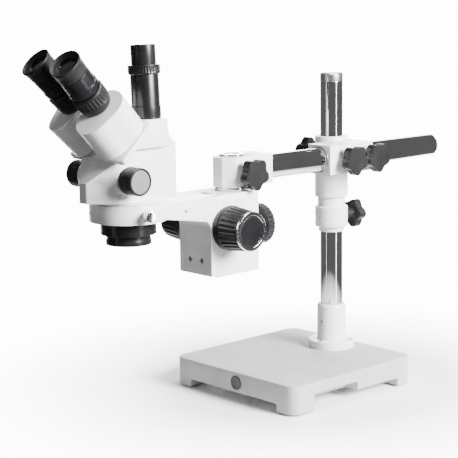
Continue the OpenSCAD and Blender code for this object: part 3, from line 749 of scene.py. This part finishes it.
# ------------------------------------------------------------------ focusing block
def make_block():
    o = box_shape("focus_casting", (12, -206.8, 194), (72, -135.4, 297.2))
    groove = slab(
        "c", [(31.7, -208), (52.3, -208), (55.3, -194.7), (28.7, -194.7)], 180, 310, "steel", BASE,
        edge=0,
    )
    cuts = [groove, rod_shape("c", at(ARM_X, SHAFT_Y, SHAFT_Z) @ ALONG["+x"], 7, -40, 40, 48)]
    cuts.append(rod_shape("c", at(ARM_X, POST_Y, 0), 12.5, 240, 310, 64))
    boolean(o, cuts, "DIFFERENCE")
    soften(o, 0.9, "white_alloy", limit=40, steps=3)
    piece(o, "block", "white_alloy", "focus_block")
    post = at(ARM_X, POST_Y, 0)
    o = lathe(
        "post_rod", [(0, 240), (12.5, 240), (12.5, 341), (0, 341)], "chrome", post, 96, soft=0.5,
        closed=False,
    )
    piece(o, "block", "chrome", "focus_post")
    ring = lathe(
        "ring", [(12.5, 297.2), (22.5, 297.2), (22.5, 301.9), (12.5, 301.9)], "chrome", post, 96,
        soft=0.6,
    )
    cap = lathe(
        "cap", [(0, 341), (16.5, 340.1), (16.5, 343.4), (10, 343.5), (9.4, 342.4), (0, 342.3)],
        "chrome", post, 96, soft=0.5, closed=False,
    )
    piece(join("post_collars_turned", [ring, cap]), "block", "chrome", "post_collars")
    bushes = []
    for x in (12, 62):
        bushes.append(
            lathe(
                "bush", [(4.05, 0), (7, 0), (7, 10), (4.05, 10)], "bronze",
                at(x, SHAFT_Y, SHAFT_Z) @ ALONG["+x"], 48, soft=0.2,
            )
        )
    piece(join("shaft_bushes_turned", bushes), "block", "bronze", "shaft_bushes")
    m = at(ARM_X, -135.4, 247) @ ALONG["+y"]
    wheel = lathe(
        "wheel",
        spread(
            [
                (0, 20.5), (24, 20.5), (26.5, 22.5), (26.5, 34), (25, 35), (12, 35), (11, 34.2),
                (0, 34.2),
            ],
            22.6, 33.9, 8,
        ),
        "black_plastic",
        m,
        30 * 12,
        soft=0.8,
        closed=False,
        wave=ribs(30, 1.3, 22.6, 34.6, 6, outside=25.5),
        smooth=50,
    )
    hub = lathe(
        "hub", [(0, 0.3), (9.4, 0.3), (10, 1), (10, 20), (13, 21.5), (0, 21.5)], "black_plastic", m,
        64, closed=False,
    )
    stud = lathe("stud", [(0, -4.8), (3.9, -4.8), (3.9, 1), (0, 1)], "steel", m, 32, closed=False)
    piece(
        join("post_handwheel", [wheel, hub, stud]), "post_knob_body", "black_plastic", "post_knob",
    )


def make_bracket():
    back, front, head_y = -207.1, -217.3, -325
    side = [
        (back, 196), (back, 297.2), (head_y, 297.2), (head_y, 280), (head_y + 34, 278),
        (front - 12, 268),
    ]
    for k in range(1, 9):
        a = math.radians(90 * k / 8)
        side.append((front - 12 + 12 * math.sin(a), 256 + 12 * math.cos(a)))
    side.append((front, 196))
    m = Matrix(((0, 0, 1, 0), (1, 0, 0, SHIFT), (0, 1, 0, 0), (0, 0, 0, 1)))
    o = slab("bracket_casting", side, 12, 72, "white_alloy", m, edge=0)
    ring = rod_shape("ring", HEAD_FRAME, 47, 279, 301.5, 128)
    boolean(o, [ring], "UNION")
    cuts = [rod_shape("c", HEAD_FRAME, 38, 277, 310, 128)]
    lift = Matrix.Translation((0, 0, RING_SCREW_Z))
    radial = HEAD_FRAME @ turn("Z", -12) @ lift @ ALONG["+x"]
    cuts.append(rod_shape("c", radial, 2.6, 36, 55, 32))
    for x in (-11, 11):
        mm = at(ARM_X + x, -217.3, 214) @ ALONG["+y"]
        cuts.append(rod_shape("c", mm, 3.6, -3, 4, 32))
    boolean(o, cuts, "DIFFERENCE")
    soften(o, 0.9, "white_alloy", limit=35, steps=3)
    ring_screw = HEAD_FRAME @ turn("Z", -112) @ lift @ ALONG["+x"]
    side_screw = at(ARM_X, -258, 284) @ ALONG["+x"]
    boolean(
        o,
        [
            rod_shape("c", ring_screw, 2.05, 41, 50, 32),
            rod_shape("c", side_screw, 2.05, 24, 33, 32),
        ],
        "DIFFERENCE",
    )
    finish_mesh(o, "white_alloy", 42)
    piece(o, "carriage", "white_alloy", "focus_bracket")
    screws = []
    for x in (-11, 11):
        mm = at(ARM_X + x, -213.3, 214) @ ALONG["-y"]
        screws.append(cap_screw("s", mm, 3.4, 3, 1.9))
    for m, top in ((ring_screw, 46.3), (side_screw, 29.2)):
        profile = [(0, top - 5), (2, top - 5), (2, top), (1.2, top), (1.1, top - 2), (0, top - 2)]
        screws.append(lathe("s", profile, "steel", m, 32, soft=0.1, closed=False))
    piece(join("bracket_screws_socket", screws), "carriage", "steel", "bracket_screws")
    thumb = lathe(
        "thumb",
        spread(
            [(0, 48), (4.3, 48), (4.5, 52), (6.6, 52), (6.6, 61), (5.8, 61.2), (0, 61.2)], 52.4,
            60.6, 6,
        ),
        "chrome",
        radial,
        24 * 10,
        soft=0.5,
        closed=False,
        wave=ribs(24, 0.5, 52.4, 60.6, 2, outside=6),
        smooth=50,
    )
    stem = lathe(
        "stem", [(0, 38.4), (2.4, 38.4), (2.4, 49), (0, 49)], "steel", radial, 32, closed=False,
    )
    piece(join("thumbscrew_knurled", [thumb, stem]), "thumbscrew_body", "chrome", "ring_thumbscrew")


def make_focus_knobs():
    knobs, rims, caps = [], [], []
    for s in (-1, 1):
        m = at(ARM_X, SHAFT_Y, SHAFT_Z) @ ALONG["+x" if s > 0 else "-x"]
        body = lathe(
            "k",
            spread(
                [
                    (4, 31.5), (28.3, 31.5), (28.5, 33), (28.5, 37), (27.2, 38.4), (28.0, 39.8),
                    (24.9, 69), (24.2, 70), (20, 70), (20, 68.5), (4, 68.5),
                ],
                41.5,
                66.5,
                14,
            ),
            "black_plastic",
            m,
            24 * 16,
            soft=0.7,
            wave=ribs(24, 1.7, 41.0, 67.5, 5, outside=21),
            smooth=50,
        )
        knobs.append(body)
        rims.append(
            lathe(
                "r", [(20, 70), (24.8, 70), (24.8, 72.2), (24, 73), (20.4, 73), (20, 72.4)],
                "chrome", m, 96, soft=0.3,
            )
        )
        caps.append(
            lathe(
                "c", [(0, 68.5), (19.9, 68.5), (19.9, 71.6), (17, 72.1), (0, 71.4)], "gloss_black",
                m, 96, soft=0.3, closed=False,
            )
        )
    piece(join("focus_knobs_ribbed", knobs), "focus_drive", "black_plastic", "focus_knobs")
    piece(join("focus_rims_turned", rims), "focus_drive", "chrome", "focus_knob_rims")
    piece(join("focus_caps_dished", caps), "focus_drive", "gloss_black", "focus_knob_caps")


# ------------------------------------------------------------------ zoom head
PLATE = HEAD_FRAME @ Matrix.Translation((0, -0.045, 0.360)) @ turn("X", 45)
ZOOM_AXIS = HEAD_FRAME @ Matrix.Translation((0, -0.029, 0.333))


def make_zoom_body():
    outline = [
        (6.5, -67.5), (36, -40), (36, 45), (31, 52), (-31, 52), (-36, 45), (-36, -40),
        (-6.5, -67.5),
    ]
    outline = rounded(outline, 8, 6, True, {0: 5, 7: 5, 1: 14, 6: 14})
    o = slab("zoom_casting", outline, 306, 372, "white_alloy", HEAD_FRAME, edge=0)
    bosses = []
    for s in (-1, 1):
        m = ZOOM_AXIS @ ALONG["+x" if s > 0 else "-x"]
        bosses.append(
            lathe(
                "boss",
                [(0, 8), (31, 10), (28, 18), (22.5, 27), (18.6, 34.5), (17.4, 38.2), (0, 38.2)],
                "white_alloy", m, 96, soft=3, closed=False,
            )
        )
    boolean(o, bosses, "UNION")
    top = slab(
        "c", [(-200, -200), (200, -200), (200, 200), (-200, 200)], -5.5, 200, "steel", PLATE,
        edge=0,
    )
    boolean(o, [top], "DIFFERENCE")
    soften(o, 1.2, "white_alloy", limit=35, steps=3)
    flange = lathe(
        "flange", [(0, 301.8), (46, 301.8), (46, 306.4), (0, 306.4)], "white_alloy", HEAD_FRAME,
        128, soft=1.0, closed=False,
    )
    spigot = lathe(
        "spigot", [(34.2, 281), (37.95, 281), (37.95, 302), (34.2, 302)], "steel", HEAD_FRAME, 128,
        soft=0.4,
    )
    piece(join("zoom_body_shell", [o, flange, spigot]), "head", "white_alloy", "zoom_body")


def make_cover():
    plate = rounded([(-51, -4), (51, -4), (51, 58), (-51, 58)], 6, 6)
    o = slab("cover_casting", plate, -6, 0, "white_alloy", PLATE, edge=0)
    side = rounded([(-36, 369), (46, 369), (46, 371), (33, 382), (29, 402), (-4, 402)], 0, 1)
    m = HEAD_FRAME @ Matrix(((0, 0, 1, 0), (1, 0, 0, 0), (0, 1, 0, 0), (0, 0, 0, 1)))
    hump = slab("hump", side, -45, 45, "white_alloy", m, edge=0)
    plan = rounded([(45, -60), (45, 22), (33, 50), (-33, 50), (-45, 22), (-45, -60)], 8, 6)
    column = slab("column", plan, 360, 420, "white_alloy", HEAD_FRAME, edge=0)
    boolean(hump, [column], "INTERSECT")
    boolean(o, [hump], "UNION")
    soften(o, 1.6, "white_alloy", limit=28, steps=4)
    m = HEAD_FRAME @ Matrix.Translation((0, -0.016, 0.388)) @ ALONG["+x"]
    piece(o, "head", "white_alloy", "head_cover")
    dot = lathe(
        "side_dot", [(0, 40), (1.6, 40), (1.6, 45), (1.4, 45.2), (0, 45.2)], "steel", m, 32,
        soft=0.1, closed=False,
    )
    piece(dot, "head", "steel", "head_screws")


def make_objective():
    o = lathe(
        "objective_turned",
        [
            (0, 264), (24, 264), (24, 250), (27.8, 250), (27.8, 255.5), (26.8, 256.5),
            (26.8, 262.5), (33.9, 262.5), (33.9, 300), (30, 300), (30, 272), (0, 272),
        ],
        "black_metal",
        HEAD_FRAME,
        128,
        soft=0.5,
        closed=False,
    )
    cuts = [
        rod_shape("c", HEAD_FRAME @ Matrix.Translation((s * 0.012, 0, 0)), 10, 260, 280, 48)
        for s in (-1, 1)
    ]
    boolean(o, cuts, "DIFFERENCE")
    finish_mesh(o, "black_metal", 35)
    piece(o, "head", "black_metal", "objective_barrel")


def make_zoom_knobs():
    knobs, caps = [], []
    for s in (-1, 1):
        m = ZOOM_AXIS @ ALONG["+x" if s > 0 else "-x"]
        knobs.append(
            lathe(
                "k",
                spread(
                    [
                        (4, 40), (15.6, 40), (16.5, 41), (16.5, 60.5), (15.6, 61.5), (14, 61.5),
                        (13.9, 59.7), (4, 59.7),
                    ],
                    42, 59.5, 8,
                ),
                "black_plastic",
                m,
                48 * 6,
                soft=0.4,
                wave=ribs(48, 0.35, 42, 59.5, 2, outside=16),
                smooth=50,
            )
        )
        caps.append(
            lathe(
                "c", [(0, 59.7), (13.85, 59.7), (13.85, 60.5), (12, 60.7), (0, 60.4)], "grey_face",
                m, 96, soft=0.2, closed=False,
            )
        )
    piece(join("zoom_knobs_turned", knobs), "zoom_drive", "black_plastic", "zoom_knobs")
    piece(join("zoom_faces", caps), "zoom_drive", "grey_face", "zoom_knob_caps")


# ------------------------------------------------------------------ eyepiece channels
def channel_frame(side):
    """Z along the swivel axis, Y up the slanted plate."""
    j = JOINTS["channel_swing_" + side]
    z = Vector(j["axis"]).normalized()
    y = Vector((0, 1, 1)).normalized()
    x = y.cross(z).normalized()
    p = Vector(j["pos_m"])
    return Matrix(((x.x, y.x, z.x, p.x), (x.y, y.y, z.y, p.y), (x.z, y.z, z.z, p.z), (0, 0, 0, 1)))


def make_channel(side, s):
    c = channel_frame(side)
    drum_r, crown_r, crown = 22.2, 24.8, Vector((2.5, 20))
    lean = math.degrees(math.atan2(crown.y, crown.x))
    span = math.degrees(math.acos((drum_r - crown_r) / crown.length))
    outline = []
    for centre, r, start, end in (
        (Vector((0, 0)), drum_r, lean - 360 + span, lean - span),
        (crown, crown_r, lean - span, lean + span),
    ):
        for k in range(49):
            a = math.radians(start + (end - start) * k / 48)
            outline.append((s * (centre.x + r * math.cos(a)), centre.y + r * math.sin(a)))
    if s < 0:
        outline.reverse()
    o = slab("housing_" + side, outline, 4, 52, "white_alloy", c, edge=2.4, steps=5)
    neck = lathe(
        "neck", [(0, -4.2), (12, -4.2), (12, 4.5), (0, 4.5)], "white_alloy", c, 64, soft=0.3,
        closed=False,
    )
    piece(
        join("prism_cover_" + side, [o, neck]), "channel_" + side, "white_alloy",
        "prism_housing_" + side,
    )
    e = c @ Matrix.Translation((-s * 0.0079, 0.0194, 0.052))
    o = lathe(
        "eyetube_turned_" + side,
        [
            (10.5, -3), (11.9, -3), (11.9, 0), (17.4, 0), (19, 3), (19.6, 9), (16, 9), (16, 29),
            (15.05, 29), (15.05, 4), (10.5, 4),
        ],
        "black_metal",
        e,
        96,
        soft=0.6,
    )
    piece(o, "channel_" + side, "black_metal", "eyetube_" + side)
    o = lathe(
        "diopter_ribbed_" + side,
        spread(
            [(16.05, 9.3), (19.6, 9.3), (20.3, 10.3), (20.3, 24.3), (18.8, 26.3), (16.05, 26.3)],
            10.8, 23.8, 8,
        ),
        "black_plastic",
        e,
        28 * 10,
        soft=0.4,
        wave=ribs(28, 0.9, 10.8, 23.8, 4, outside=19.7),
        smooth=50,
    )
    piece(o, "diopter_" + side, "black_plastic", "diopter_ring_" + side)
    barrel = lathe(
        "barrel",
        [
            (12.5, 10), (15, 10), (15, 32), (16.4, 32), (16.4, 29.2), (18.7, 29.2), (19.4, 30),
            (19.4, 36), (18.5, 37), (18.2, 54.4), (15.5, 54.6), (15.5, 67), (12.5, 67),
        ],
        "gloss_black",
        e,
        96,
        soft=0.4,
    )
    eye_lens = lathe(
        "eye_lens", [(0, 62), (12.45, 63), (12.45, 65.6), (9, 66.3), (5, 66.7), (0, 66.9)],
        "optical_glass", e, 64, soft=0.2, closed=False,
    )
    field_lens = lathe(
        "field_lens", [(0, 12.2), (12.45, 13), (12.45, 15), (6, 15.6), (0, 15.8)], "optical_glass",
        e, 64, soft=0.2, closed=False,
    )
    piece(
        join("eyepiece_turned_" + side, [barrel, eye_lens, field_lens]), "ocular_" + side,
        "black_metal", "eyepiece_" + side,
    )
    o = lathe(
        "eyecup_soft_" + side,
        [
            (15.5, 54.7), (18.3, 54.7), (18.35, 58), (18.6, 64), (19.1, 67.5), (19.8, 70.5),
            (19.8, 72.5), (19, 73), (17.6, 71), (16.2, 69.6), (12.7, 68.5), (12.7, 67.1),
            (15.5, 67.1),
        ],
        "black_rubber",
        e,
        96,
        soft=1.2,
    )
    piece(o, "ocular_" + side, "black_rubber", "eyecup_" + side)


# ------------------------------------------------------------------ photo port
def make_port():
    j = JOINTS["port_ring_turn"]
    z = Vector(j["axis"]).normalized()
    x = Vector((0, 1, 0)).cross(z).normalized()
    y = z.cross(x)
    p = Vector(j["pos_m"]) - z * 0.059
    m = Matrix(((x.x, y.x, z.x, p.x), (x.y, y.y, z.y, p.y), (x.z, y.z, z.z, p.z), (0, 0, 0, 1)))
    tube = lathe(
        "tube", [(13.6, 0.6), (17.7, 0.9), (17.7, 14), (17.1, 15), (17.1, 51.6), (13.6, 51.6)],
        "black_metal", m, 96, soft=0.5,
    )
    seat = HEAD_FRAME @ Matrix.Translation((0.024, 0.0125, 0.402))
    foot = lathe(
        "foot_ring", [(13, 0.05), (17.2, 0.05), (17.2, 1.6), (13, 1.6)], "black_metal", seat, 96,
        soft=0.2,
    )
    piece(join("port_base_turned", [tube, foot]), "head", "black_metal", "port_base")
    o = lathe(
        "port_ring_knurled",
        spread(
            [(13.6, 51.9), (18.8, 51.9), (19.3, 52.5), (19.3, 62.3), (18.8, 62.9), (13.6, 62.9)],
            53, 61.8, 6,
        ),
        "black_metal",
        m,
        36 * 8,
        soft=0.4,
        wave=ribs(36, 0.4, 53, 61.8, 2, outside=18.9),
        smooth=50,
    )
    piece(o, "port_ring_body", "black_metal", "port_focus_ring")
    tube = lathe(
        "tube",
        [
            (10.5, 30), (13.5, 30), (13.5, 63.2), (15, 63.2), (15, 85.8), (14, 86.8), (12.4, 86.8),
            (11.65, 86.2), (11.65, 40), (10.5, 40),
        ],
        "black_metal", m, 96, soft=0.4,
    )
    lens = lathe(
        "lens", [(0, 32), (10.45, 33), (10.45, 35.4), (6, 36.2), (0, 36.4)], "optical_glass", m, 64,
        soft=0.2, closed=False,
    )
    piece(join("port_tube_turned", [tube, lens]), "port_tube_body", "black_metal", "port_tube")


make_base()
make_socket()
make_pillar()
make_collar()
make_cross_clamp()
make_boom()
make_end_clamp()
make_block()
make_bracket()
make_focus_knobs()
make_zoom_body()
make_cover()
make_objective()
make_zoom_knobs()
make_channel("right", 1)
make_channel("left", -1)
make_port()

# inner nodes keep their CAD shape and get their material
INNER = {
    "pinion_shaft": "steel",
    "slide_rack": "steel",
    "objective_lenses": "optical_glass",
    "zoom_guide_rods": "steel",
    "zoom_carrier": "black_metal",
    "zoom_lenses": "optical_glass",
    "zoom_shaft": "steel",
    "prism_right": "optical_glass",
    "prism_left": "optical_glass",
}
for node, slot in INNER.items():
    for holder in NODES[node].material_slots:
        holder.link = "OBJECT"
        holder.material = M[slot]


# ------------------------------------------------------------------ stage and light
# the studio: a bright wall behind the object and a dim room in front of it
WALL, WALL_EDGE = (-0.72, 0.67, -0.16), (0.8, 0.95)
DIM, BRIGHT = 0.14, 14.0
FLOOR_FADE, FLOOR_END = 0.2, 0.5


def make_stage():
    """A round pale floor that fades out, with a bright wall behind and a dim room in front."""
    me = bpy.data.meshes.new("floor")
    bm = bmesh.new()
    bmesh.ops.create_circle(bm, cap_ends=True, segments=96, radius=FLOOR_END)
    bm.to_mesh(me)
    bm.free()
    floor = bpy.data.objects.new("floor", me)
    floor.location = (0, PILLAR.y - 0.05, 0)
    bpy.context.scene.collection.objects.link(floor)
    m, tree, bsdf = new_material("floor_pale")
    n = noise(tree, 3, 4)
    tree.links.new(
        tint(tree, n.outputs["Fac"], (0.93, 0.93, 0.93), (0.96, 0.96, 0.96)),
        bsdf.inputs["Base Color"],
    )
    bsdf.inputs["Roughness"].default_value = 0.7
    bsdf.inputs["Specular IOR Level"].default_value = 0.1
    coords = tree.nodes.new("ShaderNodeTexCoord")
    length = tree.nodes.new("ShaderNodeVectorMath")
    length.operation = "LENGTH"
    tree.links.new(coords.outputs["Object"], length.inputs[0])
    tree.links.new(
        ramp(tree, length.outputs["Value"], FLOOR_FADE, FLOOR_END, 1, 0), bsdf.inputs["Alpha"]
    )
    me.materials.append(m)
    world = bpy.data.worlds.new("studio")
    bpy.context.scene.world = world
    world.use_nodes = True
    tree = world.node_tree
    back = tree.nodes["Background"]
    back.inputs[0].default_value = (1, 1, 1, 1)
    coords = tree.nodes.new("ShaderNodeTexCoord")
    along = tree.nodes.new("ShaderNodeVectorMath")
    along.operation = "DOT_PRODUCT"
    along.inputs[1].default_value = WALL
    tree.links.new(coords.outputs["Generated"], along.inputs[0])
    seen = tree.nodes.new("ShaderNodeLightPath")
    mix = tree.nodes.new("ShaderNodeMix")
    mix.inputs[3].default_value = BRIGHT
    tree.links.new(seen.outputs["Is Camera Ray"], mix.inputs[0])
    tree.links.new(
        ramp(tree, along.outputs["Value"], WALL_EDGE[0], WALL_EDGE[1], DIM, BRIGHT), mix.inputs[2]
    )
    tree.links.new(mix.outputs[0], back.inputs[1])


def area_light(name, where, target, size, power):
    data = bpy.data.lights.new(name, "AREA")
    data.shape = "RECTANGLE"
    data.size, data.size_y = size
    data.energy = power
    o = bpy.data.objects.new(name, data)
    o.location = where
    o.rotation_mode = "QUATERNION"
    o.rotation_quaternion = (Vector(target) - Vector(where)).to_track_quat("-Z", "Y")
    o.visible_camera = False
    bpy.context.scene.collection.objects.link(o)


make_stage()
area_light("side", (2.3, 0.5, 1.3), (0, 0, 0.25), (1.0, 1.0), 420)
area_light("top", (0.3, 0.5, 2.4), (0, 0, 0.2), (1.4, 1.4), 75)
area_light("strip_right", (1.9, 0.35, 0.2), (0, 0.1, 0.2), (0.10, 1.9), 11)
area_light("strip_left", (-0.35, -2.1, 0.2), (0, 0.1, 0.2), (0.07, 1.9), 2.5)
area_light("front", (-0.6, -2.4, 1.4), (0, 0, 0.25), (1.2, 1.2), 3)
